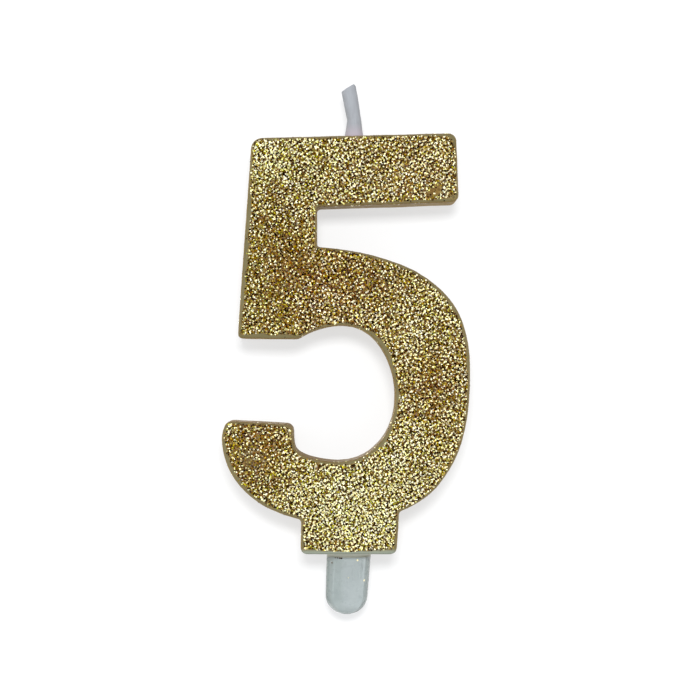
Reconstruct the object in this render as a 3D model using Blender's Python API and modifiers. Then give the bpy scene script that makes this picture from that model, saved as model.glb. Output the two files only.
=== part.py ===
"""A birthday candle in the shape of the number 5.

The numeral is cast face down in wax. Its glitter sinks into a front layer, a primed wick stands in the
top bar, and a plastic pick is cast into the plinth to hold the candle in a cake.

The origin is the middle of the plinth's underside, where the candle meets the cake. +Z points up, +X to
the reader's right, and the glitter face looks towards -Y.
"""

import math

import bmesh
import bpy
from mathutils import Vector

MM = 0.001

# Driving dimensions of the casting.
DEPTH = 11.0 * MM
GLITTER_DEPTH = 1.4 * MM
EDGE_ROUND = 0.6 * MM
GAP = 0.3 * MM

# Bar, stem and terminal of the 5, by the points where their sides would meet.
BAR_TOP_LEFT = (-16.25 * MM, 69.5 * MM)
BAR_TOP_RIGHT = (17.9 * MM, 70.3 * MM)
BAR_LOW_RIGHT = (18.35 * MM, 58.8 * MM)
STEM_INNER_X = -5.4 * MM
NOTCH_TOP_Z = 58.0 * MM
NOTCH_FLOOR_Z = 51.3 * MM
STEM_LOW_LEFT = (-18.6 * MM, 36.0 * MM)
MOUTH_TOP = (-8.55 * MM, 35.9 * MM)
TERMINAL_RIGHT = (-9.35 * MM, 21.65 * MM)
TERMINAL_LEFT = (-20.4 * MM, 22.25 * MM)

# The bowl's opening.
OPENING_TOP = (-1.0 * MM, 38.2 * MM)
OPENING_RIGHT = (7.75 * MM, 26.1 * MM)
OPENING_FLOOR = (-1.95 * MM, 15.4 * MM)
OPENING_LOW_LEFT = (-8.9 * MM, 17.45 * MM)

# The bowl's outside.
BOWL_UPPER_RIGHT = (13.15 * MM, 46.0 * MM)
BOWL_RIGHT = (20.25 * MM, 30.6 * MM)
BOWL_LOWER_RIGHT = (15.05 * MM, 11.65 * MM)
BOWL_LOWER_LEFT = (-15.0 * MM, 8.55 * MM)
BOWL_LEFT = (-21.25 * MM, 18.95 * MM)

# The plinth under the bowl.
PLINTH_RIGHT_X = 7.95 * MM
PLINTH_LEFT_X = -8.1 * MM
PLINTH_TOP_RIGHT = (8.4 * MM, 7.1 * MM)
PLINTH_TOP_LEFT = (-7.95 * MM, 5.75 * MM)

# Radii of the outline's corners.
SHARP = 0.3 * MM
CRISP = 0.7 * MM
SOFT = 1.25 * MM
BROAD = 1.9 * MM

# The wick: its middle line runs straight up out of the wax to a kink, then leans to the left.
WICK_X = 0.86 * MM
WICK_FOOT_Z = 61.0 * MM
WICK_EXIT_Z = 70.2 * MM
WICK_KINK_Z = 73.0 * MM
WICK_TOP_Z = 80.0 * MM
WICK_LEAN = math.radians(9.9)
WICK_RADIUS = 1.2 * MM
WICK_FLARE = 1.58 * MM
WICK_TIP_RADIUS = 1.31 * MM
COAT_WALL = 0.25 * MM
TRIM_Z = 78.4 * MM
TRIM_SLOPE = math.radians(32)

# The plait of three yarns inside the wick's coat.
YARNS = 3
YARN_RADIUS = 0.2 * MM
PLAIT_HALF_WIDTH = 0.5 * MM
PLAIT_HALF_DEPTH = 0.34 * MM
PLAIT_PITCH = 5.2 * MM
YARN_POINTS = 45

# The pick: a tapered, flattened spike with a barbed anchor.
PICK_RADIUS = 3.68 * MM
PICK_TIP_RADIUS = 3.48 * MM
PICK_TIP_Z = -10.5 * MM
PICK_TIP_ROUND = 3.2 * MM
PICK_FLATTEN = 0.7
PICK_LEAN = math.radians(3.2)
PICK_NECK_RADIUS = 2.3 * MM
PICK_BARB_RADIUS = 3.2 * MM
PICK_SHOULDER_Z = 3.0 * MM
PICK_BARB_PITCH = 4.0 * MM
PICK_BARBS = 2
PICK_STEPS = 32
PICK_TIP_STEPS = 8

OUTLINE_RESOLUTION = 10


def clear_scene():
    for obj in list(bpy.data.objects):
        bpy.data.objects.remove(obj, do_unlink=True)


def new_collection(name):
    collection = bpy.data.collections.new(name)
    bpy.context.scene.collection.children.link(collection)
    return collection


def principled(name, color, roughness, metallic=0.0, transmission=0.0):
    material = bpy.data.materials.new(name)
    material.use_nodes = True
    shader = material.node_tree.nodes["Principled BSDF"]
    shader.inputs["Base Color"].default_value = (*color, 1.0)
    shader.inputs["Roughness"].default_value = roughness
    shader.inputs["Metallic"].default_value = metallic
    shader.inputs["Transmission Weight"].default_value = transmission
    return material


def as_cutter(obj):
    obj.hide_render = True
    obj.display_type = "WIRE"
    return obj


def cut(obj, cutter, operation="DIFFERENCE"):
    modifier = obj.modifiers.new(cutter.name, "BOOLEAN")
    modifier.operation = operation
    modifier.object = cutter


def mesh_from_curve(curve_obj, collection):
    """Turns a curve object into a mesh object of the same name, with its caps welded."""
    name = curve_obj.name
    evaluated = curve_obj.evaluated_get(bpy.context.evaluated_depsgraph_get())
    mesh = bpy.data.meshes.new_from_object(evaluated)
    welded = bmesh.new()
    welded.from_mesh(mesh)
    bmesh.ops.remove_doubles(welded, verts=welded.verts, dist=0.001 * MM)
    welded.to_mesh(mesh)
    welded.free()
    matrix = curve_obj.matrix_world.copy()
    bpy.data.objects.remove(curve_obj, do_unlink=True)
    obj = bpy.data.objects.new(name, mesh)
    obj.matrix_world = matrix
    collection.objects.link(obj)
    return obj


def finish_piece(obj, material):
    obj.data.materials.clear()
    obj.data.materials.append(material)
    obj.data.shade_smooth()
    obj.data.set_sharp_from_angle(angle=math.radians(35))


# The outline of the 5.


def corner(point, radius):
    """A rounded corner, given by the point where its two sides would meet."""
    return {"at": Vector(point), "radius": radius}


def bend(point, heading, reach_in, reach_out):
    """A point on a round stretch: its heading in degrees, and how far its handles reach in mm."""
    at = Vector(point)
    along = Vector((math.cos(math.radians(heading)), math.sin(math.radians(heading))))
    handles = (at - along * reach_in * MM, at + along * reach_out * MM)
    return {"at": at, "handles": handles}


def number_features():
    """The 5's corners and bends, counter-clockwise from the plinth's lower right corner."""
    return [
        corner((PLINTH_RIGHT_X, 0), 1.0 * MM),
        corner(PLINTH_TOP_RIGHT, SHARP),
        bend(BOWL_LOWER_RIGHT, 51, 4.1, 4.9),
        bend(BOWL_RIGHT, 90, 10.5, 8.8),
        bend(BOWL_UPPER_RIGHT, 144.5, 4.9, 8.3),
        corner((STEM_INNER_X, NOTCH_FLOOR_Z), SHARP),
        corner((STEM_INNER_X, NOTCH_TOP_Z), SHARP),
        corner(BAR_LOW_RIGHT, SOFT),
        corner(BAR_TOP_RIGHT, SOFT),
        corner(BAR_TOP_LEFT, BROAD),
        corner(STEM_LOW_LEFT, CRISP),
        corner(MOUTH_TOP, CRISP),
        bend(OPENING_TOP, 0, 4.3, 5.7),
        bend(OPENING_RIGHT, -90, 5.6, 5.6),
        bend(OPENING_FLOOR, 180, 6.0, 1.5),
        bend(OPENING_LOW_LEFT, 126, 1.9, 0.8),
        corner(TERMINAL_RIGHT, SOFT),
        corner(TERMINAL_LEFT, SOFT),
        bend(BOWL_LEFT, -86, 1.2, 4.0),
        bend(BOWL_LOWER_LEFT, -34, 5.1, 3.2),
        corner(PLINTH_TOP_LEFT, SHARP),
        corner((PLINTH_LEFT_X, 0), 1.0 * MM),
    ]


def rounded_corner(feature, before, after):
    """The two Bezier points of a rounded corner, each as (point, handle in, handle out).

    A handle of None marks a straight side.
    """
    at = feature["at"]
    back = (before["handles"][1] if "handles" in before else before["at"]) - at
    ahead = (after["handles"][0] if "handles" in after else after["at"]) - at
    back.normalize()
    ahead.normalize()
    turn = math.pi - back.angle(ahead)
    reach = feature["radius"] * math.tan(turn / 2)
    handle = feature["radius"] * math.tan(turn / 4) * 4 / 3
    start = at + back * reach
    end = at + ahead * reach
    start_in = start if "handles" in before else None
    end_out = end if "handles" in after else None
    return [(start, start_in, start - back * handle), (end, end - ahead * handle, end_out)]


def bezier_points(features):
    points = []
    for index, feature in enumerate(features):
        if "handles" in feature:
            points.append((feature["at"], *feature["handles"]))
        else:
            after = features[(index + 1) % len(features)]
            points += rounded_corner(feature, features[index - 1], after)
    return points


def number_slab(name, collection):
    """The whole casting as one solid of even depth with rounded edges."""
    curve = bpy.data.curves.new(name, "CURVE")
    curve.dimensions = "2D"
    curve.fill_mode = "BOTH"
    curve.resolution_u = OUTLINE_RESOLUTION
    curve.render_resolution_u = 0
    curve.bevel_depth = EDGE_ROUND
    curve.bevel_resolution = 1
    curve.extrude = DEPTH / 2 - EDGE_ROUND
    curve.offset = -EDGE_ROUND
    points = bezier_points(number_features())
    spline = curve.splines.new("BEZIER")
    spline.bezier_points.add(len(points) - 1)
    spline.use_cyclic_u = True
    for target, (at, handle_in, handle_out) in zip(spline.bezier_points, points):
        target.co = (*at, 0)
        if handle_in is None:
            target.handle_left_type = "VECTOR"
        else:
            target.handle_left_type = "FREE"
            target.handle_left = (*handle_in, 0)
        if handle_out is None:
            target.handle_right_type = "VECTOR"
        else:
            target.handle_right_type = "FREE"
            target.handle_right = (*handle_out, 0)
    curve_obj = bpy.data.objects.new(name, curve)
    curve_obj.rotation_euler.x = math.pi / 2
    collection.objects.link(curve_obj)
    bpy.context.view_layer.update()
    return mesh_from_curve(curve_obj, collection)


def block(name, size, collection):
    """A box that stands on its own origin."""
    mesh = bpy.data.meshes.new(name)
    box = bmesh.new()
    bmesh.ops.create_cube(box, size=1)
    bmesh.ops.translate(box, verts=box.verts, vec=(0, 0, 0.5))
    bmesh.ops.scale(box, verts=box.verts, vec=size)
    box.to_mesh(mesh)
    box.free()
    obj = bpy.data.objects.new(name, mesh)
    collection.objects.link(obj)
    return as_cutter(obj)


def front_block(name, back_y, collection):
    """A block that covers everything in front of back_y, with room to spare all round."""
    room = 2 * DEPTH
    number_height = BAR_TOP_RIGHT[1]
    front = block(name, (number_height, room, number_height + 2 * room), collection)
    front.location = (0, back_y - room / 2, -room)
    return front


def make_number(parts, cutters):
    """The wax numeral behind the glitter layer, and the glitter layer in front of it."""
    layer_back = -DEPTH / 2 + GLITTER_DEPTH
    body = number_slab("number_body", parts)
    cut(body, front_block("glitter_layer_room", layer_back + GAP, cutters))
    cut(body, wick_tube("wick_bore", GAP, cutters))
    cut(body, as_cutter(pick_solid("pick_socket", GAP, cutters)))
    finish_piece(body, principled("olive_wax", (0.28, 0.22, 0.11), 0.45))

    face = number_slab("glitter_face", parts)
    cut(face, front_block("glitter_layer_block", layer_back, cutters), "INTERSECT")
    finish_piece(face, principled("gold_glitter_wax", (0.52, 0.38, 0.12), 0.35, metallic=0.6))


# The wick.


def wick_middle(height):
    """A point on the wick's middle line at this height."""
    lean = max(height - WICK_KINK_Z, 0) * math.tan(WICK_LEAN)
    return Vector((WICK_X - lean, 0, height))


def tube(name, points, radii, sides, collection):
    """A closed round tube along points, with a radius at each, as a mesh object."""
    curve = bpy.data.curves.new(name, "CURVE")
    curve.dimensions = "3D"
    curve.bevel_depth = 1.0
    curve.bevel_resolution = (sides - 4) // 2
    curve.use_fill_caps = True
    curve.render_resolution_u = 0
    spline = curve.splines.new("POLY")
    spline.points.add(len(points) - 1)
    for target, point, radius in zip(spline.points, points, radii):
        target.co = (*point, 1)
        target.radius = radius
    curve_obj = bpy.data.objects.new(name, curve)
    collection.objects.link(curve_obj)
    bpy.context.view_layer.update()
    return mesh_from_curve(curve_obj, collection)


def wick_tube(name, clearance, collection):
    """The wick's straight stretch in the wax, grown by a clearance, as a cutter for its bore."""
    points = [Vector((WICK_X, 0, height)) for height in (WICK_FOOT_Z - clearance, WICK_TOP_Z)]
    radii = [WICK_RADIUS + clearance] * 2
    return as_cutter(tube(name, points, radii, 20, collection))


def trim_block(collection):
    """A block above the slanted plane where the wick is snipped off."""
    trim = block("wick_trim", [DEPTH] * 3, collection)
    trim.location = wick_middle(TRIM_Z)
    trim.rotation_euler.y = -TRIM_SLOPE
    return trim


def make_wick_coat(trim, parts, cutters):
    """The wick's skin of dipped wax, with a flared foot where it leaves the top bar."""
    profile = [
        (WICK_FOOT_Z, WICK_RADIUS),
        (WICK_EXIT_Z, WICK_RADIUS),
        (WICK_EXIT_Z + 0.1 * MM, WICK_FLARE),
        (WICK_EXIT_Z + 1.3 * MM, 0.5 * (WICK_FLARE + WICK_RADIUS)),
        (WICK_KINK_Z, WICK_RADIUS),
        (TRIM_Z, WICK_TIP_RADIUS),
        (WICK_TOP_Z, WICK_TIP_RADIUS),
    ]
    points = [wick_middle(height) for height, radius in profile]
    coat = tube("wick_coat", points, [radius for height, radius in profile], 20, parts)
    hollow_heights = [WICK_FOOT_Z - GAP, WICK_KINK_Z, WICK_TOP_Z + GAP]
    hollow_points = [wick_middle(height) for height in hollow_heights]
    hollow_radii = [WICK_RADIUS - COAT_WALL] * len(hollow_points)
    hollow = tube("wick_coat_hollow", hollow_points, hollow_radii, 16, cutters)
    cut(coat, as_cutter(hollow))
    cut(coat, trim)
    finish_piece(coat, principled("wick_wax", (0.48, 0.50, 0.55), 0.4))


def plait_point(yarn, height):
    """Where one yarn of a flat three-strand plait lies at this height."""
    phase = 2 * math.pi * (height / PLAIT_PITCH + yarn / YARNS)
    across = PLAIT_HALF_WIDTH * math.sin(phase)
    through = PLAIT_HALF_DEPTH * math.sin(2 * phase)
    return wick_middle(height) + Vector((across, through, 0))


def make_wick_yarns(trim, parts):
    cotton = principled("wick_cotton", (0.72, 0.71, 0.68), 0.9)
    foot = WICK_FOOT_Z + GAP
    for yarn in range(YARNS):
        steps = [index / (YARN_POINTS - 1) for index in range(YARN_POINTS)]
        points = [plait_point(yarn, foot + (WICK_TOP_Z - foot) * step) for step in steps]
        name = "wick_yarn_" + "abc"[yarn]
        strand = tube(name, points, [YARN_RADIUS] * YARN_POINTS, 8, parts)
        cut(strand, trim)
        finish_piece(strand, cotton)


# The pick.


def pick_profile():
    """The pick's half section as (radius, height), from the tip up to the top of its anchor."""
    points = []
    for step in range(PICK_TIP_STEPS + 1):
        angle = math.pi / 2 * step / PICK_TIP_STEPS
        radius = PICK_TIP_RADIUS * math.sin(angle)
        height = PICK_TIP_Z + PICK_TIP_ROUND * (1 - math.cos(angle))
        points.append((radius, height))
    points.append((PICK_RADIUS, 0))
    points.append((PICK_RADIUS, PICK_SHOULDER_Z))
    barb_top = PICK_SHOULDER_Z
    for barb in range(PICK_BARBS):
        points.append((PICK_NECK_RADIUS, barb_top + 1.0 * MM))
        points.append((PICK_NECK_RADIUS, barb_top + 1.8 * MM))
        points.append((PICK_BARB_RADIUS, barb_top + 2.4 * MM))
        barb_top += PICK_BARB_PITCH
    points.append((PICK_NECK_RADIUS, barb_top))
    points.append((0, barb_top))
    return points


def grown_profile(points, clearance):
    """The profile moved outwards, and its flat top moved up, by the clearance."""
    top = points[-1][1]
    grown = []
    for radius, height in points:
        grown_radius = radius + clearance / PICK_FLATTEN if radius > 0 else 0
        grown_height = height + clearance if height == top else height
        grown.append((grown_radius, grown_height))
    return grown


def pick_solid(name, clearance, collection):
    """The turned and flattened pick, or its socket when a clearance is given."""
    profile = reversed(grown_profile(pick_profile(), clearance))
    mesh = bpy.data.meshes.new(name)
    outline = bmesh.new()
    verts = [outline.verts.new((radius, 0, height)) for radius, height in profile]
    for start, end in zip(verts, verts[1:]):
        outline.edges.new((start, end))
    outline.to_mesh(mesh)
    outline.free()
    obj = bpy.data.objects.new(name, mesh)
    obj.scale.y = PICK_FLATTEN
    obj.rotation_euler.y = PICK_LEAN
    screw = obj.modifiers.new("turn", "SCREW")
    screw.angle = 2 * math.pi
    screw.steps = PICK_STEPS
    screw.render_steps = PICK_STEPS
    screw.use_merge_vertices = True
    screw.merge_threshold = 0.001 * MM
    screw.use_smooth_shade = True
    collection.objects.link(obj)
    return obj


def make_pick(parts):
    pick = pick_solid("pick", 0, parts)
    pick.data.materials.append(principled("milky_plastic", (0.42, 0.47, 0.48), 0.3, transmission=0.4))


def build():
    clear_scene()
    parts = new_collection("number_5_candle")
    cutters = new_collection("candle_cutters")
    make_number(parts, cutters)
    trim = trim_block(cutters)
    make_wick_coat(trim, parts, cutters)
    make_wick_yarns(trim, parts)
    make_pick(parts)


build()
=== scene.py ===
"""Looks of the number 5 candle: soft cast wax, a face full of gold glitter, a waxed wick and a milky pick.

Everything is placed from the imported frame. +X is to the reader's right, +Z is up the number, and the
glitter face looks towards -Y. The candle's back is against a pale sheet that the light falls on.
"""

import math

import bmesh
import bpy
import numpy as np
from mathutils import Matrix, Vector, noise
from mathutils.bvhtree import BVHTree


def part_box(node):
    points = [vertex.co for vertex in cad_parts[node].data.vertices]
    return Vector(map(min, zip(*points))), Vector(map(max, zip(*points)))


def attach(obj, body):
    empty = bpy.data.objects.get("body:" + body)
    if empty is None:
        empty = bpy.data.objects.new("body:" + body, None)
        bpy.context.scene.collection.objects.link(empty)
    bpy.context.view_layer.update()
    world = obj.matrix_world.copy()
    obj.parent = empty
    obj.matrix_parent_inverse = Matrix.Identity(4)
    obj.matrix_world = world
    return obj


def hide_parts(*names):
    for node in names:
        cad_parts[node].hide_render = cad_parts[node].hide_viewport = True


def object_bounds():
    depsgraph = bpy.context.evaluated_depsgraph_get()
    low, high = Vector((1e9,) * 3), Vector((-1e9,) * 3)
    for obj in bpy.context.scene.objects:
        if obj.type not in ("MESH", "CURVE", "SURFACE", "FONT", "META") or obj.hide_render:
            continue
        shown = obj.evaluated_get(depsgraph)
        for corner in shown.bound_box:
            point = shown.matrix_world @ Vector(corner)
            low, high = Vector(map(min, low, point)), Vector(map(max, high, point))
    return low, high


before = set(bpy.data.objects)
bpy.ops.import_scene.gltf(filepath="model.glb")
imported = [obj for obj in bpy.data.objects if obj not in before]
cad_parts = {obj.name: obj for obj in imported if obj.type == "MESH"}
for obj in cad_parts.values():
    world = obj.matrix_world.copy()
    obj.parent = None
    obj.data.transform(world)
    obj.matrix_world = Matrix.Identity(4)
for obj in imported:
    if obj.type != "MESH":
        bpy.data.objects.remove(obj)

MM = 0.001
CAD_LOW, CAD_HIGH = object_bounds()
FACE_LOW, FACE_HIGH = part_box("glitter_face")
PICK_LOW, PICK_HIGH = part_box("pick")
COAT_LOW, COAT_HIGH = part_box("wick_coat")

# The casting, front to back. Its back has sunk, from DISH_START inside the outline onwards.
FRONT_Y = FACE_LOW.y
SEAM_Y = FACE_HIGH.y
BACK_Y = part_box("number_body")[1].y
EDGE_ROUND = 0.6 * MM
VOXEL = 0.28 * MM
DISH_DEPTH = 0.28 * MM
DISH_START = 0.5 * MM
DISH_REACH = 2.6 * MM

# How uneven the wax is: broad swells and fine ripples.
SWELL_HEIGHT = 0.045 * MM
SWELL_SIZE = 3.4 * MM
RIPPLE_HEIGHT = 0.018 * MM
RIPPLE_SIZE = 1.1 * MM

# Glitter flakes: their honeycomb on the face, their size and tilt, and how far they stand off the wax.
FLAKE_PITCH = 0.222 * MM
FLAKE_SHAKE = 0.18 * FLAKE_PITCH
FLAKE_RADIUS = 0.122 * MM
RADIUS_SPREAD = 0.16
FLAKE_TILT = math.radians(15)
FLAKE_GAP = 0.01 * MM
FLAKE_PILE = 0.03 * MM
LOWEST_FLAKE = 0.1 * MM

# Flakes on the walls start this far behind the front and thin out towards the back.
WALL_TILT = math.radians(3)
WALL_START = 0.5 * MM
WALL_FADE = 0.4 * MM
WALL_SPACING = 0.5 * MM

# Where the glitter on the face ends: the bare wax's usual width in millimetres, the share of it that comes
# and goes, the strip where cover fades in, the rounded rim without flakes, and the share of strays.
BARE_WIDTH = 0.27
BARE_WAVER = 0.6
WAVER_SIZE = 1.6 * MM
COVER_FADE = 0.2 * MM
RIM = 0.3 * MM
STRAY_SHARE = 0.012

# Dull flakes below the surface. Each pair is how far behind the front they are gone, and how far fully there:
# on the face, and at the near and far sides of a band on the walls. A share of them stays in thin places.
SUNK_ON_FACE = (0.6 * MM, 0.3 * MM)
SUNK_BAND_NEAR = (0.5 * MM, 0.75 * MM)
SUNK_BAND_FAR = (1.36 * MM, 0.86 * MM)
SUNK_ON_WALLS = 0.85
SUNK_IN_THIN = 0.4
SUNK_SIZE = 0.24 * MM

# The streaks that flakes of one tone gather in, which lay out the painted glints and dark reflections: waves of
# about this length, and some plain chance.
STREAK_LENGTH = 0.63 * MM
STREAK_WAVES = 140
STREAK_SPREAD = 0.3
STREAK_CHANCE = 0.75

# How far the hue of one flake, the hue of a whole area, and the richness of one flake stray.
HUE_SPREAD = 0.032
HUE_DRIFT = 0.019
RICHNESS_SPREAD = 0.38

# Each tone of glitter: its colours from darkest to palest, its roughness, and its share of the flakes where the
# glitter lies brightest and where it lies dullest. The near-black dark tone is a painted dark reflection and the
# near-white bright tone a painted glint, on top of what the metal reflects.
TONES = {
    "glitter_dark": ([(0, 0, 0), (22, 8, 2), (72, 48, 18)], 0.32, 0.355, 0.35),
    "glitter_brown": ([(96, 64, 20), (122, 95, 40), (144, 120, 60)], 0.34, 0.0, 0.43),
    "glitter_gold": ([(118, 106, 46), (160, 148, 74), (198, 188, 108)], 0.28, 0.205, 0.13),
    "glitter_bright": ([(206, 202, 176), (252, 246, 178), (255, 255, 222)], 0.26, 0.44, 0.09),
}

# Places on the face below are (x, z) in millimetres, with their reaches.
# Where the moulding left wax bare along an edge: (outward direction, centre, reach, extra bare width).
BARE_EDGES = [
    ((-1, 0), (-18, 44), 10, 0.2),
    ((-1, 0), (-17, 54), 8, 0.4),
    ((-1, 0), (-21, 18), 6, 0.2),
    ((0.7, 0.7), (17, 39), 8, 0.2),
    ((0.2, 1), (-3, 51), 4, -0.15),
    ((1, 0), (-5.4, 54.5), 5, -0.27),
    ((-0.7, -0.7), (-16, 9.5), 8, 0.25),
    ((-0.8, -0.6), (5, 34), 6, 0.4),
    ((-1, 0), (7.5, 26), 5, 0.2),
    ((-0.7, 0.7), (4, 18), 6, 0.35),
    ((-1, 0), (-8, 1.5), 3, 0.1),
    ((0, -1), (-6, 0), 4, 0.4),
    ((0.4, -1), (6, 0), 5, 0.45),
    ((0.7, -0.7), (8, 0.5), 2.2, 0.45),
    ((0, -1), (-14.5, 36), 5, 0.6),
    ((0, -1), (12, 59), 4, 0.1),
    ((0.4, -1), (17, 59), 2.5, 0.25),
    ((1, 0), (20.2, 32), 4, 0.2),
    ((0.7, 0.7), (17.8, 69.5), 2, 0.45),
]
# Where flakes lie thinly over the face: (centre, reach, share missing).
THIN_PLACES = [
    ((14.8, 60.8), 0.95, 1.0),
    ((13.7, 60.3), 0.75, 0.95),
    ((-16, 16), 2.6, 0.4),
    ((17.9, 59.0), 1.2, 1.0),
]
# Where the bare wax is smeared brown: (centre, reach).
SMEARED_PLACES = [((14.8, 60.8), 1.1), ((13.7, 60.3), 0.9)]
SMEAR = 0.9
# Where the glitter is painted duller or brighter, with fewer or more flakes in the painted glint tone: (centre,
# reach across, reach up, brightness).
TONE_PLACES = [
    ((-12, 44), 7, 10, -0.8),
    ((-15, 17), 6, 8, -1.0),
    ((-14, 56), 6, 6, -0.45),
    ((14, 28.5), 3.5, 5, -0.8),
    ((11, 19), 4, 5, 0.45),
    ((-9, 50), 3, 3.5, -0.35),
    ((4.5, 42.5), 3.5, 3, -0.35),
    ((0, 46), 8, 5, -0.6),
    ((-14, 66), 6, 4, 0.5),
    ((0, 9), 13, 7, 0.85),
    ((3, 3), 8, 5, 0.4),
]
# Where the glitter is redder or greener: (centre, reach across, reach up, redness).
WARM_PLACES = [
    ((-2, 44), 8, 7, 1.0),
    ((14, 28.5), 4, 6, 0.9),
    ((12, 63), 7, 6, 0.7),
    ((-10, 48), 4, 4, 0.5),
    ((-16, 46), 3, 10, -0.5),
    ((-14, 18), 5, 6, 0.5),
    ((-11, 66), 7, 6, -0.6),
    ((0, 8), 13, 8, -0.4),
]

# The wick's skin. The rod that it is cut from follows the CAD coat between its trimmed ends, and runs past
# the top. Below, it is as wide as at its widest from FLARE_START under the wax's top.
WICK_VOXEL = 0.07 * MM
WICK_SIDES = 40
WICK_RINGS = 90
WICK_FOOT_TRIM = 0.3 * MM
WICK_TOP_TRIM = 2.2 * MM
WICK_PAST_TOP = 1.5 * MM
FLARE_START = 1.5 * MM
CORNER_OFF = 0.29 * MM
STRAND_HEIGHT = 0.007 * MM
STRAND_SIZE = 0.42 * MM
LUMP_HEIGHT = 0.035 * MM
LUMP_SIZE = 1.5 * MM

# The pick's skin: a round tip, flat panels turned a little, a parting line, a crease and a groove.
PICK_SIDES = 168
TIP_LENGTH = 3.2 * MM
TIP_RINGS = 26
SHANK_RINGS = 110
PANEL_REACH = 0.7
PANEL_FLATNESS = 0.95
PANEL_TURN = math.radians(3)
PARTING_PROUD = 0.05 * MM
PARTING_WIDTH = 0.12 * MM
CREASE_X = -1.2 * MM
CREASE_SLOPE = 0.07
GROOVE_X = 2.35 * MM
GROOVE_WIDTH = 0.15 * MM
GROOVE_DEPTH = 0.13 * MM
GROOVE_FADE = 0.4 * MM
GROOVE_LOW = -4.7 * MM
GROOVE_HIGH = -0.9 * MM

# Flakes that were left on the pick, for each piece: its tone, and each flake's (x, z, radius) in millimetres.
STRAYS = {
    "strays_dark": (
        "glitter_dark",
        [(-2.3, -0.8, 0.12), (-1.9, -0.84, 0.13), (-1.5, -0.83, 0.2), (-1.25, -0.9, 0.17), (-2.84, -1.7, 0.15)],
    ),
    "strays_gold": ("glitter_bright", [(1.44, -1.25, 0.16), (2.53, -4.65, 0.19), (-0.1, -4.2, 0.07)]),
}

# The film of wax at the pick's root, which thickens upwards.
FILM_LOW = -0.74 * MM
FILM_HIGH = 0.3 * MM
FILM_RINGS = 14
FILM_SIDES = 72
FILM_LEAST = 0.02 * MM
FILM_GROWTH = 0.22 * MM
FILM_RIPPLE = 0.35

# The camera sees VIEW_WIDTH across at the glitter face.
CAMERA_DISTANCE = 420 * MM
CAMERA_AIM = Vector((0.18 * MM, FRONT_Y, 34.1 * MM))
VIEW_WIDTH = 116.67 * MM
SENSOR = 36.0

# The sheet glows a little, so that only the key light's shadow shows on it.
SHEET_HALF = 3.0
SHEET_GAP = 0.25 * MM
SHEET_TINT = (0.99, 1, 1.015, 1)
SHEET_GLOW = 0.597
SHEET_TONE = 0.35

# The lights: the direction they come from, distance, width, height and power.
KEY_LIGHT = ((0.012, -1, 0.232), 0.6, 0.14, 0.1, 2.9)
BACK_LIGHT = ((-0.3, 1, 0.3), 0.6, 0.3, 0.3, 0.5)

# The studio's brightness: from below to above, from the left to the right, and between its dark and bright
# patches, which only show in reflections. The camera sees it as SEEN_WHITE.
STUDIO_RISE = (0.84, 0.6)
STUDIO_ASIDE = (1.12, 0.88)
STUDIO_PATCHES = (0.63, 3.75)
SEEN_WHITE = 1.05

# Every random draw comes from here, so that each run makes the same candle.
chance = np.random.default_rng(5)


# Small helpers for numbers.


def smoothstep(values):
    values = np.clip(values, 0, 1)
    return values * values * (3 - 2 * values)


def faded(values, gone, full):
    """0 where a value is past gone and 1 where it is past full, with a smooth change between."""
    return smoothstep((values - gone) / (full - gone))


def noise_at(points, size, seed=0):
    """Smooth noise from about -1 to 1 with bumps of this size, at each point."""
    shift = Vector((seed * 7.3, seed * 3.1, seed * 5.7))
    return np.array([noise.noise(Vector(point) / size + shift) for point in points])


def bell(points, centre, reach_across, reach_up, flatness=1):
    """1 at the centre, in millimetres, falling to 0 beyond its reach. A flatter bell has a sharper rim."""
    offset = (points / MM - centre) / (reach_across, reach_up)
    return np.exp(-((offset**2).sum(1) ** flatness))


def gathered(spots, points):
    """The sum at each point of the bells in a list of (centre, reach across, reach up, amount)."""
    flat = points[:, [0, 2]]
    return sum(amount * bell(flat, centre, across, up) for centre, across, up, amount in spots)


def turns(count):
    """Angles once round, evenly spaced."""
    return [2 * math.pi * index / count for index in range(count)]


# Small helpers for meshes.


def new_object(name, mesh):
    obj = bpy.data.objects.new(name, mesh)
    bpy.context.scene.collection.objects.link(obj)
    return obj


def apply_modifiers(obj):
    """Replaces the object's data by what its modifiers make of it."""
    bpy.context.view_layer.update()
    made = obj.evaluated_get(bpy.context.evaluated_depsgraph_get())
    mesh = bpy.data.meshes.new_from_object(made)
    obj.modifiers.clear()
    obj.data = mesh
    return obj


def get_vectors(items, name):
    """The items' vectors of this name, as the rows of an array."""
    flat = np.empty(len(items) * 3, np.float32)
    items.foreach_get(name, flat)
    return flat.reshape(-1, 3).astype(float)


def get_points(mesh):
    return get_vectors(mesh.vertices, "co")


def get_normals(mesh):
    return get_vectors(mesh.vertex_normals, "vector")


def set_points(mesh, points):
    mesh.vertices.foreach_set("co", points.astype(np.float32).ravel())
    mesh.update()


def store(mesh, name, domain, values):
    """Stores one number for each point or face, for a material to read."""
    stored = mesh.attributes.new(name, "FLOAT", domain)
    stored.data.foreach_set("value", values.astype(np.float32))


def voxel_skin(obj, voxel, smoothing):
    """Turns a solid into an even skin of small quads with softened edges."""
    remesh = obj.modifiers.new("remesh", "REMESH")
    remesh.mode = "VOXEL"
    remesh.voxel_size = voxel
    remesh.use_smooth_shade = True
    soften = obj.modifiers.new("soften", "SMOOTH")
    soften.factor = 0.5
    soften.iterations = smoothing
    return apply_modifiers(obj)


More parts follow.
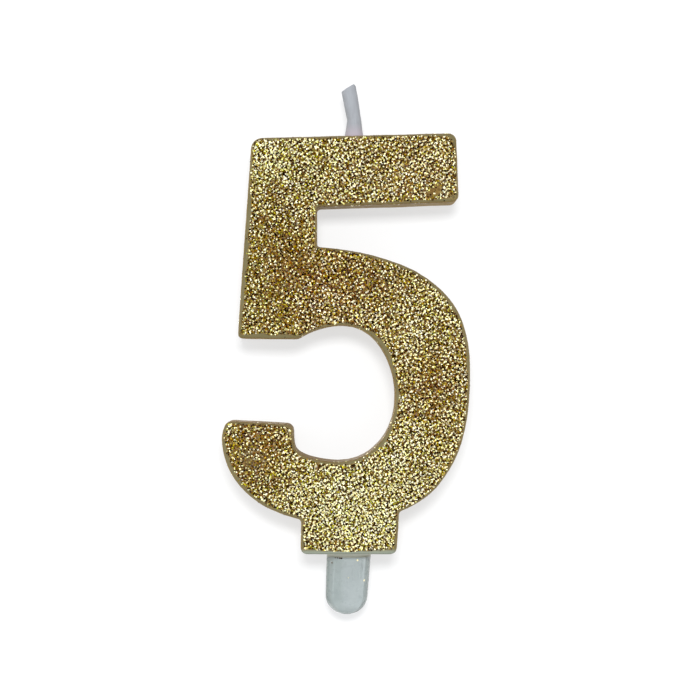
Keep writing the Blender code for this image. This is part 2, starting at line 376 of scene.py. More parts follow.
def sliced(obj, point, normal, name):
    """A closed copy of the object, with what lies beyond the plane cut away."""
    mesh = obj.data.copy()
    solid = bmesh.new()
    solid.from_mesh(mesh)
    geometry = solid.verts[:] + solid.edges[:] + solid.faces[:]
    cut = bmesh.ops.bisect_plane(solid, geom=geometry, plane_co=point, plane_no=normal, clear_outer=True)
    rim = [item for item in cut["geom_cut"] if isinstance(item, bmesh.types.BMEdge)]
    bmesh.ops.holes_fill(solid, edges=rim, sides=0)
    bmesh.ops.recalc_face_normals(solid, faces=solid.faces)
    solid.to_mesh(mesh)
    solid.free()
    return new_object(name, mesh)


def finish_piece(obj, material, slot, *nodes):
    """Gives a piece its material, and lets it stand for its CAD nodes."""
    obj.data.materials.clear()
    obj.data.materials.append(material)
    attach(obj, "root")
    if nodes:
        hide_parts(*nodes)


# Small helpers for shader nodes.


def srgb(red, green, blue):
    """A colour given as it looks on a screen, from 0 to 255, as a linear one."""
    channels = [value / 255 for value in (red, green, blue)]
    linear = [value / 12.92 if value <= 0.04045 else ((value + 0.055) / 1.055) ** 2.4 for value in channels]
    return (*linear, 1)


def add(tree, kind, inputs=None, **settings):
    """A new shader node. An input given as a socket is linked, and any other is set."""
    node = tree.nodes.new("ShaderNode" + kind)
    for name, value in settings.items():
        setattr(node, name, value)
    for name, value in (inputs or {}).items():
        set_input(tree, node.inputs[name], value)
    return node


def set_input(tree, socket, value):
    if isinstance(value, bpy.types.NodeSocket):
        tree.links.new(value, socket)
    else:
        socket.default_value = value


def new_material(name, **values):
    """A material and its Principled node, with these values on the node's sockets."""
    material = bpy.data.materials.new(name)
    material.use_nodes = True
    shader = material.node_tree.nodes["Principled BSDF"]
    for socket, value in values.items():
        shader.inputs[socket.replace("_", " ")].default_value = value
    return material, material.node_tree, shader


def ramp(tree, factor, *stops):
    """A colour ramp through (position, screen colour) stops."""
    node = add(tree, "ValToRGB", {"Fac": factor})
    elements = node.color_ramp.elements
    while len(elements) < len(stops):
        elements.new(0.5)
    for element, (position, colour) in zip(elements, stops):
        element.position = position
        element.color = srgb(*colour)
    return node.outputs["Color"]


def object_place(tree):
    return add(tree, "TexCoord").outputs["Object"]


def place_along(tree, axis):
    """The object-space coordinate along X, Y or Z."""
    return add(tree, "SeparateXYZ", {"Vector": object_place(tree)}).outputs[axis]


def facing_along(tree, axis):
    """How much the surface faces along X, Y or Z, from -1 to 1."""
    normal = add(tree, "NewGeometry").outputs["Normal"]
    return add(tree, "SeparateXYZ", {"Vector": normal}).outputs[axis]


def stored_value(tree, name):
    return add(tree, "Attribute", attribute_name=name).outputs["Fac"]


def texture_noise(tree, size, detail=3.0, stretch=(1, 1, 1)):
    """Noise in object space with features of this size, drawn out along an axis by stretch."""
    scale = [1 / (size * factor) for factor in stretch]
    scaled = add(tree, "Mapping", {"Vector": object_place(tree), "Scale": scale})
    made = add(tree, "TexNoise", {"Vector": scaled.outputs[0], "Scale": 1.0, "Detail": detail})
    return made.outputs["Fac"]


def ranged(tree, value, low, high, start=0.3, end=0.7):
    """A value's span from start to end mapped onto low to high."""
    settings = {"Value": value, "From Min": start, "From Max": end, "To Min": low, "To Max": high}
    return add(tree, "MapRange", settings).outputs["Result"]


def mix_colours(tree, factor, first, second):
    """The first colour at factor 0 and the second at factor 1."""
    node = tree.nodes.new("ShaderNodeMix")
    node.data_type = "RGBA"
    for index, value in ((0, factor), (6, first), (7, second)):
        set_input(tree, node.inputs[index], value)
    return node.outputs[2]


def product(tree, first, second):
    return add(tree, "Math", {0: first, 1: second}, operation="MULTIPLY").outputs[0]


def bump(tree, height, distance, strength=1.0, under=None):
    inputs = {"Height": height, "Distance": distance, "Strength": strength}
    if under is not None:
        inputs["Normal"] = under
    return add(tree, "Bump", inputs).outputs["Normal"]


# The outline, read from the CAD casting.


def cad_outline():
    """The casting's outline as a loop of (x, z) points, from the ring where its back edge starts to round."""
    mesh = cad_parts["number_body"].data
    points = get_points(mesh)
    on_ring = np.abs(points[:, 1] - (BACK_Y - EDGE_ROUND)) < 0.002 * MM
    keys = {}
    place = {}
    for index in np.flatnonzero(on_ring):
        key = tuple(np.round(points[index, [0, 2]] / (0.01 * MM)).astype(int))
        keys[index] = key
        place[key] = points[index, [0, 2]]
    beside = {key: set() for key in place}
    for edge in mesh.edges:
        a, b = edge.vertices
        if a in keys and b in keys and keys[a] != keys[b]:
            beside[keys[a]].add(keys[b])
            beside[keys[b]].add(keys[a])
    loop = [min(place)]
    seen = set(loop)
    while True:
        onward = [key for key in beside[loop[-1]] if key not in seen]
        if not onward:
            break
        loop.append(onward[0])
        seen.add(onward[0])
    return np.array([place[key] for key in loop])


# Each side of the outline: its start, its run to the next point, its length and its outward normal.
side_start = cad_outline()
side_run = np.roll(side_start, -1, axis=0) - side_start
side_length = np.hypot(*side_run.T)
turning = np.sign(np.sum(side_start[:, 0] * side_run[:, 1] - side_start[:, 1] * side_run[:, 0]))
side_normal = turning * np.stack([side_run[:, 1], -side_run[:, 0]], axis=1) / side_length[:, None]


def to_outline(points):
    """For (x, z) points, how far each is inside the outline, and the outward normal at the nearest side.

    A point is inside if a level line from it towards +X crosses an odd number of sides.
    """
    depth = np.empty(len(points))
    nearest = np.empty(len(points), int)
    batch = 4000
    for start in range(0, len(points), batch):
        some = points[start : start + batch, None, :]
        from_start = some - side_start
        along = np.clip((from_start * side_run).sum(-1) / side_length**2, 0, 1)
        gap = from_start - along[..., None] * side_run
        distance = np.hypot(gap[..., 0], gap[..., 1])
        rising = side_run[:, 1] + 1e-12
        crosses = (from_start[..., 1] < 0) != (from_start[..., 1] - side_run[:, 1] < 0)
        crosses &= from_start[..., 0] < from_start[..., 1] * side_run[:, 0] / rising
        sign = np.where(crosses.sum(1) % 2 == 1, 1, -1)
        which = distance.argmin(1)
        depth[start : start + batch] = sign * distance[np.arange(len(which)), which]
        nearest[start : start + batch] = which
    return depth, side_normal[nearest]


# The wax.


def outline_curve():
    """The outline as a filled curve with depth and rounded edges."""
    curve = bpy.data.curves.new("casting", "CURVE")
    curve.dimensions = "2D"
    curve.fill_mode = "BOTH"
    curve.bevel_depth = EDGE_ROUND
    curve.bevel_resolution = 3
    curve.extrude = (BACK_Y - FRONT_Y) / 2 - EDGE_ROUND
    curve.offset = -EDGE_ROUND
    spline = curve.splines.new("POLY")
    spline.points.add(len(side_start) - 1)
    spline.use_cyclic_u = True
    for point, (x, z) in zip(spline.points, side_start):
        point.co = (x, z, 0, 1)
    return curve


def casting_block():
    """The whole numeral as one solid of even depth with rounded edges."""
    shape = new_object("casting_curve", outline_curve())
    bpy.context.view_layer.update()
    mesh = bpy.data.meshes.new_from_object(shape.evaluated_get(bpy.context.evaluated_depsgraph_get()))
    bpy.data.objects.remove(shape)
    mesh.transform(Matrix.Rotation(math.pi / 2, 4, "X"))
    weld = bmesh.new()
    weld.from_mesh(mesh)
    bmesh.ops.remove_doubles(weld, verts=weld.verts, dist=0.001 * MM)
    bmesh.ops.recalc_face_normals(weld, faces=weld.faces)
    weld.to_mesh(mesh)
    weld.free()
    return new_object("casting", mesh)


def make_casting():
    """The poured wax: soft edges, slightly uneven faces, and a back that sank a little as it set."""
    casting = voxel_skin(casting_block(), VOXEL, 4)
    points = get_points(casting.data)
    normals = get_normals(casting.data)
    swells = SWELL_HEIGHT * noise_at(points, SWELL_SIZE, 1)
    ripples = RIPPLE_HEIGHT * noise_at(points, RIPPLE_SIZE, 2)
    points += normals * (swells + ripples)[:, None]
    depth = to_outline(points[:, [0, 2]])[0]
    sunk = DISH_DEPTH * smoothstep((depth - DISH_START) / DISH_REACH)
    points[:, 1] -= np.where(points[:, 1] > BACK_Y - 0.4 * MM, sunk, 0)
    set_points(casting.data, points)
    return casting


def wax_base(tree, shader):
    """Wax painted in tones by the way it faces, as light and shade: olive on the front, tan on its walls, a
    darker brown on walls that face up and a darker tan on walls that face down. Clouded colour, soft grain and
    tiny pits.
    """
    cloud = texture_noise(tree, 4 * MM, 4)
    # One wax, painted olive where it faces the front and tan where it faces aside: painted shading by facing.
    olive = ramp(tree, cloud, (0.35, (106, 98, 68)), (0.5, (111, 103, 73)), (0.65, (116, 108, 79)))
    tan = ramp(tree, cloud, (0.35, (146, 121, 70)), (0.5, (151, 127, 75)), (0.65, (156, 132, 81)))
    upness = ranged(tree, facing_along(tree, "Z"), 0.0, 0.6, 0.1, 0.9)
    downness = ranged(tree, facing_along(tree, "Z"), 1.0, 0.0, -0.9, -0.3)
    frontness = ranged(tree, facing_along(tree, "Y"), 1.0, 0.0, -0.8, -0.25)
    # Painted shade: walls that face up are darkened towards brown, and walls that face down towards a darker tan.
    shaded = mix_colours(tree, upness, tan, srgb(110, 86, 50))
    walls = mix_colours(tree, downness, shaded, srgb(142, 117, 62))
    tree.links.new(ranged(tree, texture_noise(tree, 1.5 * MM), 0.5, 0.66), shader.inputs["Roughness"])
    grain = bump(tree, texture_noise(tree, 0.5 * MM, 5), 0.03 * MM, 0.7)
    pits = bump(tree, texture_noise(tree, 2.6 * MM, 2), 0.12 * MM, 0.5, grain)
    tree.links.new(pits, shader.inputs["Normal"])
    return mix_colours(tree, frontness, walls, olive)


def olive_wax_material():
    material, tree, shader = new_material("olive_wax", Specular_IOR_Level=0.05)
    tree.links.new(wax_base(tree, shader), shader.inputs["Base Color"])
    return material


def glitter_wax_material():
    """The same wax with dull flakes just below its surface, where the glitter covers it.

    At the plinth's lower rim the wax is painted a paler grey-green: partly the tint of the thin wax over the
    pick, and partly painted light against the shade under the plinth. Bare spots are brown.
    """
    material, tree, shader = new_material("glitter_wax", Specular_IOR_Level=0.06)
    plain = wax_base(tree, shader)
    # Painted light: the plinth's lower rim is painted paler against the shade under the plinth, and grey-green
    # where the wax is thin over the pick.
    thin = ranged(tree, place_along(tree, "Z"), 1.0, 0.0, 0.35 * MM, 1.0 * MM)
    rimmed = mix_colours(tree, thin, plain, srgb(138, 145, 131))
    smeared = mix_colours(tree, stored_value(tree, "smear"), rimmed, srgb(112, 90, 52))
    cells = add(tree, "TexVoronoi", {"Vector": object_place(tree), "Scale": 1 / SUNK_SIZE})
    own = add(tree, "SeparateColor", {"Color": cells.outputs["Color"]}).outputs["Red"]
    tones = [(0.0, (36, 20, 4)), (0.35, (84, 56, 18)), (0.7, (126, 94, 40)), (1.0, (176, 152, 84))]
    covered = mix_colours(tree, stored_value(tree, "cover"), smeared, ramp(tree, own, *tones))
    tree.links.new(covered, shader.inputs["Base Color"])
    return material


def mark_cover(layer):
    """Stores how thickly dull flakes cover each point of the layer, and how brown its wax is smeared."""
    points = get_points(layer.data)
    flat = points[:, [0, 2]]
    depth, normals = to_outline(flat)
    behind = points[:, 1] - FRONT_Y
    thin = sum(missing * bell(flat, centre, reach, reach, 2) for centre, reach, missing in THIN_PLACES)
    shown = np.maximum(cover_at(flat, depth, normals), SUNK_IN_THIN * np.minimum(thin, 1))
    face = shown * faded(behind, *SUNK_ON_FACE)
    band = SUNK_ON_WALLS * faded(behind, *SUNK_BAND_NEAR) * faded(behind, *SUNK_BAND_FAR)
    smear = sum(SMEAR * bell(flat, centre, reach, reach, 2) for centre, reach in SMEARED_PLACES)
    store(layer.data, "cover", "POINT", np.where(depth < RIM, band, face))
    store(layer.data, "smear", "POINT", np.minimum(smear, 1))


def make_wax():
    """The body and the glitter layer in front of it. Returns the skin of both, for flakes to land on."""
    casting = make_casting()
    seam = Vector((0, SEAM_Y, 0))
    wax = sliced(casting, seam, Vector((0, -1, 0)), "number_wax")
    layer = sliced(casting, seam, Vector((0, 1, 0)), "glitter_layer")
    surface = BVHTree.FromObject(casting, bpy.context.evaluated_depsgraph_get())
    bpy.data.objects.remove(casting)
    mark_cover(layer)
    finish_piece(wax, olive_wax_material(), "olive_wax", "number_body")
    finish_piece(layer, glitter_wax_material(), "gold_glitter_wax", "glitter_face")
    return surface


# Glitter flakes.


def bare_width(points, normals):
    """How far in from the edge the wax is left bare, at each point."""
    width = np.full(len(points), BARE_WIDTH)
    for direction, centre, reach, extra in BARE_EDGES:
        alike = smoothstep((normals @ np.array(direction) / np.hypot(*direction) - 0.5) / 0.4)
        width += extra * alike * bell(points, centre, reach, reach)
    places = np.insert(points, 1, 0, axis=1)
    return MM * width * (1 + BARE_WAVER * noise_at(places, WAVER_SIZE, 3))


def cover_at(points, depth, normals):
    """The share of the face that glitter covers, at (x, z) points this deep inside the outline."""
    cover = smoothstep((depth - bare_width(points, normals)) / COVER_FADE)
    for centre, reach, missing in THIN_PLACES:
        cover *= 1 - missing * bell(points, centre, reach, reach, 2)
    return cover


def face_flakes():
    """Places for flakes all over the front, on a shaken honeycomb grid, and the way that each is laid."""
    across = np.arange(CAD_LOW.x, CAD_HIGH.x, FLAKE_PITCH)
    up = np.arange(FACE_LOW.z, FACE_HIGH.z, FLAKE_PITCH * math.sqrt(3) / 2)
    grid = np.stack(np.meshgrid(across, up), axis=-1)
    grid[1::2, :, 0] += FLAKE_PITCH / 2
    points = grid.reshape(-1, 2) + chance.normal(0, FLAKE_SHAKE, (grid.size // 2, 2))
    depth, normals = to_outline(points)
    inside = depth > 0
    points, depth, normals = points[inside], depth[inside], normals[inside]
    share = STRAY_SHARE + (1 - STRAY_SHARE) * cover_at(points, depth, normals)
    share[depth < RIM] = 0
    kept = chance.random(len(points)) < share
    points = points[kept]
    return np.insert(points, 1, FRONT_Y - 1 * MM, axis=1), np.tile((0.0, 1.0, 0.0), (len(points), 1))


def wall_flakes():
    """Places for the few flakes that settled against the mould's walls, thinning out towards the back."""
    count = int(side_length.sum() / WALL_SPACING)
    spots = chance.uniform(0, side_length.sum(), count)
    side = np.searchsorted(np.cumsum(side_length), spots)
    along = chance.random(count)
    foot = side_start[side] + side_run[side] * along[:, None]
    depth = chance.exponential(WALL_FADE, count) + WALL_START
    outward = np.insert(side_normal[side], 1, 0, axis=1)
    start = np.insert(foot, 1, 0, axis=1) + outward * 0.5 * MM
    start[:, 1] = FRONT_Y + depth
    return start, -outward


def tone_at(points):
    """How bright the glitter is painted to lie, from -1 to 1: painted light."""
    tone = 0.3 * noise_at(points, 3.2 * MM, 4) + 0.5 * noise_at(points, 1.2 * MM, 7)
    return np.clip(tone + gathered(TONE_PLACES, points), -1, 1)


def land_flakes(surface, starts, aims):
    """Drops each flake along its aim onto the wax. Returns where it lands and the wax's normal there."""
    places = []
    normals = []
    for start, aim in zip(starts, aims):
        place, normal, face, distance = surface.ray_cast(Vector(start), Vector(aim), 3 * MM)
        if place is not None and place.z > LOWEST_FLAKE:
            places.append(place)
            normals.append(normal)
    return np.array(places), np.array(normals)


def hexagons(name, places, normals, radii, tilts):
    """One mesh of flat hexagons, each tilted and spun at random about the wax's normal."""
    count = len(places)
    tilted = normals + np.tan(np.clip(chance.normal(0, 1, (count, 3)) * tilts[:, None], -1, 1))
    tilted /= np.linalg.norm(tilted, axis=1)[:, None]
    across = np.cross(tilted, (0.31, 0.2, 0.93))
    across /= np.linalg.norm(across, axis=1)[:, None]
    upward = np.cross(tilted, across)
    lifted = radii * np.linalg.norm(tilted - normals, axis=1) * 0.5
    rise = lifted + FLAKE_GAP + chance.random(count) * FLAKE_PILE
    middle = places + normals * rise[:, None]
    spin = chance.random(count) * math.pi / 3
    corners = []
    for turn in turns(6):
        angle = spin + turn
        reach = np.cos(angle)[:, None] * across + np.sin(angle)[:, None] * upward
        corners.append(middle + reach * radii[:, None])
    points = np.stack(corners, axis=1).reshape(-1, 3)
    faces = np.arange(count * 6).reshape(-1, 6).tolist()
    mesh = bpy.data.meshes.new(name)
    mesh.from_pydata(points.tolist(), [], faces)
    store(mesh, "warm", "FACE", gathered(WARM_PLACES, places))
    return new_object(name, mesh)


def glitter_material(name, colours, roughness):
    """Foil flakes, each with a tone of its own out of a run of colours."""
    material, tree, shader = new_material(name, Metallic=1.0)
    own = add(tree, "NewGeometry").outputs["Random Per Island"]
    stops = [(index / (len(colours) - 1), colour) for index, colour in enumerate(colours)]
    apart = add(tree, "TexWhiteNoise", {"W": own}, noise_dimensions="1D").outputs["Color"]
    draws = add(tree, "SeparateColor", {"Color": apart})
    drift = ranged(tree, stored_value(tree, "warm"), HUE_DRIFT, -HUE_DRIFT, -1, 1)
    hue = ranged(tree, draws.outputs["Red"], 0.5 - HUE_SPREAD, 0.5 + HUE_SPREAD, 0, 1)
    turned = {
        "Color": ramp(tree, own, *stops),
        "Hue": add(tree, "Math", {0: hue, 1: drift}).outputs[0],
        "Saturation": ranged(tree, draws.outputs["Green"], 1 - RICHNESS_SPREAD, 1 + RICHNESS_SPREAD, 0, 1),
    }
    tree.links.new(add(tree, "HueSaturation", turned).outputs["Color"], shader.inputs["Base Color"])
    rough = ranged(tree, texture_noise(tree, 0.3 * MM), roughness - 0.08, roughness + 0.1)
    tree.links.new(rough, shader.inputs["Roughness"])
    return material


def streaky(points):
    """A number for each point, spread evenly from 0 to 1 over them all, that rises and falls in streaks."""
    angles = chance.uniform(0, 2 * math.pi, STREAK_WAVES)
    lengths = STREAK_LENGTH * np.clip(chance.normal(1, STREAK_SPREAD, STREAK_WAVES), 0.65, 2)
    steps = 2 * math.pi / lengths
    phase = points[:, :1] * steps * np.cos(angles) + points[:, 2:] * steps * np.sin(angles)
    waves = np.cos(phase + chance.uniform(0, 2 * math.pi, STREAK_WAVES)).sum(1)
    field = waves / math.sqrt(STREAK_WAVES / 2) + chance.normal(0, STREAK_CHANCE, len(points))
    return field.argsort().argsort() / len(points)


def make_glitter(surface):
    """Lays the flakes, and gives each the tone that its place in the streaks calls for."""
    front = land_flakes(surface, *face_flakes())
    walls = land_flakes(surface, *wall_flakes())
    places = np.concatenate([front[0], walls[0]])
    normals = np.concatenate([front[1], walls[1]])
    radii = FLAKE_RADIUS * np.clip(chance.normal(1, RADIUS_SPREAD, len(places)), 0.5, 1.35)
    tilts = np.repeat([FLAKE_TILT, WALL_TILT], [len(front[0]), len(walls[0])])
    # Painted light: the brighter a place is painted, the more of its flakes take the tones that stand in for
    # glints.
    brightness = 0.5 + 0.5 * tone_at(places)
    draw = streaky(places)
    used = np.zeros(len(places))
    for name, (colours, roughness, bright_share, dull_share) in TONES.items():
        share = dull_share + (bright_share - dull_share) * brightness
        chosen = (draw >= used) & (draw < used + share)
        used += share
        flakes = hexagons(name, places[chosen], normals[chosen], radii[chosen], tilts[chosen])
        finish_piece(flakes, glitter_material(name, colours, roughness), "gold_glitter_wax")


# Skins swept along a CAD piece.


def cad_section(node, height):
    """The centre and half widths of a CAD node's outside at one height, as (x, y, half x, half y)."""
    solid = bmesh.new()
    solid.from_mesh(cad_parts[node].data)
    geometry = solid.verts[:] + solid.edges[:] + solid.faces[:]
    plane = Vector((0, 0, height))
    cut = bmesh.ops.bisect_plane(solid, geom=geometry, plane_co=plane, plane_no=(0, 0, 1))
    points = np.array([item.co[:] for item in cut["geom_cut"] if isinstance(item, bmesh.types.BMVert)])
    solid.free()
    low, high = points.min(0), points.max(0)
    return (*(low + high)[:2] / 2, *(high - low)[:2] / 2)


def swept_skin(name, heights, ring_points):
    """A closed skin through one ring of points for each height, from the lowest to the highest."""
    skin = bmesh.new()
    rings = [[skin.verts.new(point) for point in ring_points(height)] for height in heights]
    for lower, upper in zip(rings, rings[1:]):
        for index in range(len(lower)):
            after = (index + 1) % len(lower)
            skin.faces.new((lower[index], lower[after], upper[after], upper[index]))
    skin.faces.new(rings[0][::-1])
    skin.faces.new(rings[-1])
    mesh = bpy.data.meshes.new(name)
    skin.to_mesh(mesh)
    skin.free()
    mesh.shade_smooth()
    return new_object(name, mesh)


# The wick.


def wick_trim_plane():
    """A point on the slanted plane where the wick was snipped, and the plane's normal."""
    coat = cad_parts["wick_coat"].data
    near_top = [face for face in coat.polygons if face.center.z > COAT_HIGH.z - 2 * MM]
    cut_face = max(near_top, key=lambda face: face.normal.z)
    return cut_face.center.copy(), cut_face.normal.copy()


def wick_rod():
    """The wick before it was snipped, with its flared foot and its kink."""
    sampled = np.linspace(COAT_LOW.z + WICK_FOOT_TRIM, COAT_HIGH.z - WICK_TOP_TRIM, WICK_RINGS)
    sections = np.array([cad_section("wick_coat", height) for height in sampled])
    lean = (sections[-1, 0] - sections[-11, 0]) / (sampled[-1] - sampled[-11])
    widest = sections[:, 2].argmax()
    foot = (sampled > FACE_HIGH.z - FLARE_START) & (sampled < sampled[widest])
    sections[foot, 2:] = sections[widest, 2:]

    def ring(height):
        x, y, half_x, half_y = [np.interp(height, sampled, column) for column in sections.T]
        x += lean * max(height - sampled[-1], 0)
        return [(x + half_x * math.cos(turn), y + half_y * math.sin(turn), height) for turn in turns(WICK_SIDES)]

    return swept_skin("wick_rod", np.linspace(COAT_LOW.z, COAT_HIGH.z + WICK_PAST_TOP, WICK_RINGS), ring)


def snipped_wick():
    """The rod cut off on the slant, with the cut's sharp corner broken and its edges softened."""
    rod = wick_rod()
    trim_point, trim_normal = wick_trim_plane()
    snipped = sliced(rod, trim_point, trim_normal, "snipped_rod")
    off_corner = Vector((1, 0, 1)).normalized()
    corner = max((vertex.co for vertex in snipped.data.vertices), key=off_corner.dot)
    wick = sliced(snipped, corner - CORNER_OFF * off_corner, off_corner, "wick")
    bpy.data.objects.remove(rod)
    bpy.data.objects.remove(snipped)
    return voxel_skin(wick, WICK_VOXEL, 14)


def make_wick():
    """The dipped wick: slightly lumpy, with the yarn's strands just showing through the wax."""
    wick = snipped_wick()
    points = get_points(wick.data)
    normals = get_normals(wick.data)
    drawn_out = points * (1, 1, 0.16)
    strands = STRAND_HEIGHT * noise_at(drawn_out, STRAND_SIZE, 5)
    lumps = LUMP_HEIGHT * noise_at(points, LUMP_SIZE, 6)
    set_points(wick.data, points + normals * (strands + lumps)[:, None])
    finish_piece(wick, wick_material(), "wick_wax", "wick_coat")


def wick_material():
    """White candle wax soaked into cotton: bluish grey, with long pale streaks and a mauve foot. The mauve is the
    wax's own tint, and the foot is also painted paler as painted light.
    """
    material, tree, shader = new_material("waxed_wick", Specular_IOR_Level=0.45)
    streaks = texture_noise(tree, 0.34 * MM, 4, (1, 1, 5))
    colour = ramp(tree, streaks, (0.3, (145, 148, 154)), (0.52, (147, 151, 157)), (0.72, (151, 155, 161)))
    # The foot's mauve is its own tint, and it is painted paler than the wick above as painted light.
    foot = ranged(tree, place_along(tree, "Z"), 0.9, 0.0, FACE_HIGH.z, FACE_HIGH.z + 2 * MM)
    tree.links.new(mix_colours(tree, foot, colour, srgb(172, 163, 173)), shader.inputs["Base Color"])
    tree.links.new(ranged(tree, streaks, 0.6, 0.4), shader.inputs["Roughness"])
    tree.links.new(bump(tree, streaks, 0.012 * MM, 0.5), shader.inputs["Normal"])
    return material


def cotton_material():
    """Twisted cotton: fine slanting fibres."""
    material, tree, shader = new_material("cotton_yarn", Roughness=0.9)
    fibres = texture_noise(tree, 0.06 * MM, 4, (1, 1, 5))
    colour = ramp(tree, fibres, (0.3, (190, 186, 176)), (0.7, (236, 234, 228)))
    tree.links.new(colour, shader.inputs["Base Color"])
    tree.links.new(bump(tree, fibres, 0.03 * MM), shader.inputs["Normal"])
    return material


def dress_yarns():
    """Gives the CAD yarns, which stay as they are, their cotton."""
    cotton = cotton_material()
    for name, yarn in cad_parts.items():
        if name.startswith("wick_yarn"):
            yarn.data.materials.clear()
            yarn.data.materials.append(cotton)


# The pick.


def moulded(across, half_y, height):
    """Moves a point of the plain oval section to the moulded one, and returns it."""
    panel = np.array([math.sin(PANEL_TURN), -math.cos(PANEL_TURN)])
    out = across @ panel
    beyond = max(abs(out) - PANEL_REACH * half_y, 0)
    across = across - math.copysign(beyond * PANEL_FLATNESS, out) * panel
    at_side = max(0, 1 - abs(across[1]) / PARTING_WIDTH)
    across[0] += math.copysign(PARTING_PROUD * at_side, across[0])
    if across[1] < 0:
        across[1] += CREASE_SLOPE * max(CREASE_X - across[0], 0)
        along = smoothstep((height - GROOVE_LOW) / GROOVE_FADE) * smoothstep((GROOVE_HIGH - height) / GROOVE_FADE)
        across[1] += GROOVE_DEPTH * along * math.exp(-(((across[0] - GROOVE_X) / GROOVE_WIDTH) ** 2))
    return across


def make_pick():
    """The moulded pick: a smooth flattened spike that narrows to a round tip."""
    tip = PICK_LOW.z + TIP_LENGTH * (1 - np.cos(np.linspace(0.06, math.pi / 2, TIP_RINGS)))
    shank = np.linspace(PICK_LOW.z + TIP_LENGTH + 0.15 * MM, PICK_HIGH.z - 0.02 * MM, SHANK_RINGS)

    def ring(height):
        x, y, half_x, half_y = cad_section("pick", height)
        points = []
        for turn in turns(PICK_SIDES):
            oval = np.array([half_x * math.cos(turn), half_y * math.sin(turn)])
            across = moulded(oval, half_y, height)
            points.append((x + across[0], y + across[1], height))
        return points

    pick = swept_skin("pick_skin", np.concatenate([tip, shank]), ring)
    finish_piece(pick, milky_material(), "milky_plastic", "pick")
    return pick


def milky_material():
    """Natural polypropylene: milky, faintly blue-green, clouded inside, with painted shade at its rim and on its
    left panel.
    """
    material, tree, shader = new_material(
        "milky_plastic_skin", IOR=1.49, Subsurface_Weight=0.6, Subsurface_Scale=1.5 * MM, Specular_IOR_Level=0.5
    )
    shader.inputs["Subsurface Radius"].default_value = (1.0, 1.0, 1.0)
    cloud = texture_noise(tree, 2.4 * MM, 3, (1, 1, 1.6))
    colour = ramp(tree, cloud, (0.32, (153, 162, 163)), (0.55, (158, 167, 168)), (0.75, (163, 171, 172)))
    # Painted shade: the left panel, turned a little away from the front, is darkened, and so is the rim, where
    # the surface turns sideways.
    left = ranged(tree, place_along(tree, "X"), 0.45, 0.0, CREASE_X - 0.3 * MM, CREASE_X + 0.5 * MM)
    turned = mix_colours(tree, left, colour, srgb(136, 147, 145))
    facing = add(tree, "Math", {0: facing_along(tree, "Y")}, operation="ABSOLUTE").outputs[0]
    rim = ranged(tree, facing, 0.8, 0.0, 0.3, 0.92)
    tree.links.new(mix_colours(tree, rim, turned, srgb(104, 118, 114)), shader.inputs["Base Color"])
    tree.links.new(ranged(tree, texture_noise(tree, 0.9 * MM), 0.24, 0.34), shader.inputs["Roughness"])
    tree.links.new(bump(tree, texture_noise(tree, 1.4 * MM, 2), 0.04 * MM, 0.5), shader.inputs["Normal"])
    return material


def make_strays(pick):
    """A few flakes of glitter stuck to the front of the pick."""
    surface = BVHTree.FromObject(pick, bpy.context.evaluated_depsgraph_get())
    for name, (tone, strays) in STRAYS.items():
        found = [surface.ray_cast(Vector((x, -6, z)) * MM, Vector((0, 1, 0))) for x, z, radius in strays]
        places = np.array([place for place, normal, face, distance in found])
        normals = np.array([normal for place, normal, face, distance in found])
        radii = np.array([radius for x, z, radius in strays]) * MM
        flakes = hexagons(name, places, normals, radii, np.full(len(strays), WALL_TILT))
        finish_piece(flakes, bpy.data.materials[tone], "gold_glitter_wax")


def make_root_film():
    """The thin fillet of wax that crept down the pick when the plinth was poured."""
    x, y, half_x, half_y = cad_section("pick", -0.4 * MM)
    heights = np.linspace(FILM_LOW, FILM_HIGH, FILM_RINGS)

    def ring(height):
        grow = FILM_LEAST + FILM_GROWTH * ((height - FILM_LOW) / (FILM_HIGH - FILM_LOW)) ** 2.5
        points = []
        for turn in turns(FILM_SIDES):
            waver = noise.noise(Vector((math.cos(turn) * 2, math.sin(turn) * 2, 3)))
            grown = grow * (1 + FILM_RIPPLE * waver)
            points.append((x + (half_x + grown) * math.cos(turn), y + (half_y + grown) * math.sin(turn), height))
        return points

    finish_piece(swept_skin("root_film", heights, ring), film_material(), "olive_wax")


def film_material():
    """Thin wax over the milky plastic: grey-green, and painted paler at its top, as light against the shadow that
    the plinth's overhang casts on it.
    """
    material, tree, shader = new_material("wax_film", Specular_IOR_Level=0.45)
    cloud = texture_noise(tree, 0.8 * MM, 3)
    low = ramp(tree, cloud, (0.35, (150, 154, 141)), (0.65, (158, 161, 148)))
    # Painted light: the top of the film is painted pale against the plinth's shadow.
    root = ranged(tree, place_along(tree, "Z"), 0.0, 1.0, -0.6 * MM, -0.35 * MM)
    tree.links.new(mix_colours(tree, root, low, srgb(206, 212, 202)), shader.inputs["Base Color"])
    tree.links.new(ranged(tree, cloud, 0.35, 0.5), shader.inputs["Roughness"])
    return material


# The studio.


def make_camera():
    data = bpy.data.cameras.new("camera")
    data.sensor_width = SENSOR
    data.lens = SENSOR * CAMERA_DISTANCE / VIEW_WIDTH
    data.clip_start = 10 * MM
    data.clip_end = 10
    camera = bpy.data.objects.new("camera", data)
    camera.location = CAMERA_AIM - Vector((0, CAMERA_DISTANCE, 0))
    camera.rotation_euler.x = math.pi / 2
    bpy.context.scene.collection.objects.link(camera)
    bpy.context.scene.camera = camera


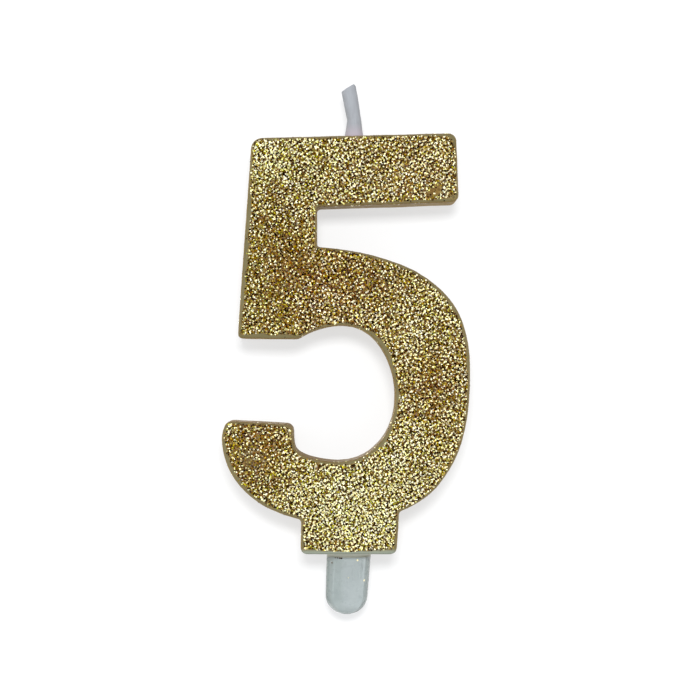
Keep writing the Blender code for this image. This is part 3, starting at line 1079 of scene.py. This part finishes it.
def soft_light(name, direction, distance, width, height, power):
    """An area light that looks at the candle's middle from this direction."""
    data = bpy.data.lights.new(name, "AREA")
    data.shape = "RECTANGLE"
    data.size = width
    data.size_y = height
    data.energy = power
    light = bpy.data.objects.new(name, data)
    towards = Vector(direction).normalized()
    light.location = (CAD_LOW + CAD_HIGH) / 2 + towards * distance
    light.rotation_euler = towards.to_track_quat("Z", "Y").to_euler()
    bpy.context.scene.collection.objects.link(light)
    return light


def sheet_material():
    """Matt and faintly glowing from the front, and clear from behind."""
    material = bpy.data.materials.new("pale_sheet")
    material.use_nodes = True
    tree = material.node_tree
    tree.nodes.clear()
    glow = add(tree, "Emission", {"Color": SHEET_TINT, "Strength": SHEET_GLOW})
    matt = add(tree, "BsdfDiffuse", {"Color": (SHEET_TONE, SHEET_TONE, SHEET_TONE, 1)})
    front = add(tree, "AddShader", {0: glow.outputs[0], 1: matt.outputs[0]})
    clear = add(tree, "BsdfTransparent")
    behind = add(tree, "NewGeometry").outputs["Backfacing"]
    mixed = add(tree, "MixShader", {0: behind, 1: front.outputs[0], 2: clear.outputs[0]})
    add(tree, "OutputMaterial", {"Surface": mixed.outputs[0]})
    return material


def make_sheet():
    """A pale sheet right behind the candle. It can't be seen from behind."""
    mesh = bpy.data.meshes.new("sheet")
    y = BACK_Y + SHEET_GAP
    corners = [(across * SHEET_HALF, y, up * SHEET_HALF) for across, up in ((-1, -1), (1, -1), (1, 1), (-1, 1))]
    mesh.from_pydata(corners, [], [(0, 1, 2, 3)])
    mesh.materials.append(sheet_material())
    sheet = new_object("sheet", mesh)
    sheet.visible_diffuse = False
    sheet.visible_glossy = False
    sheet.visible_shadow = False


def make_world():
    """White to the eye, and an uneven bright studio to everything that it lights."""
    world = bpy.data.worlds.new("studio")
    bpy.context.scene.world = world
    world.use_nodes = True
    tree = world.node_tree
    tree.nodes.clear()
    direction = add(tree, "TexCoord").outputs["Generated"]
    axes = add(tree, "SeparateXYZ", {"Vector": direction}).outputs
    rise = ranged(tree, axes["Z"], *STUDIO_RISE, -1, 1)
    aside = ranged(tree, axes["X"], *STUDIO_ASIDE, -1, 1)
    patches = add(tree, "TexNoise", {"Vector": direction, "Scale": 2.2, "Detail": 1.0}).outputs["Fac"]
    uneven = ranged(tree, patches, *STUDIO_PATCHES, 0.35, 0.65)
    path = add(tree, "LightPath").outputs
    mirrored = add(tree, "Mix", {0: path["Is Glossy Ray"], 2: 1.0, 3: uneven}).outputs[0]
    strength = product(tree, product(tree, rise, aside), mirrored)
    lit = add(tree, "Background", {"Color": (1, 1, 1, 1), "Strength": strength}).outputs[0]
    seen = add(tree, "Background", {"Color": (1, 1, 1, 1), "Strength": SEEN_WHITE}).outputs[0]
    mixed = add(tree, "MixShader", {0: path["Is Camera Ray"], 1: lit, 2: seen})
    add(tree, "OutputWorld", {"Surface": mixed.outputs[0]})


def make_studio():
    make_camera()
    make_sheet()
    make_world()
    key = soft_light("key", *KEY_LIGHT)
    key.visible_glossy = False
    soft_light("back", *BACK_LIGHT)
    view = bpy.context.scene.view_settings
    view.view_transform = "Standard"
    view.look = "None"


surface = make_wax()
make_glitter(surface)
make_wick()
dress_yarns()
make_strays(make_pick())
make_root_film()
make_studio()
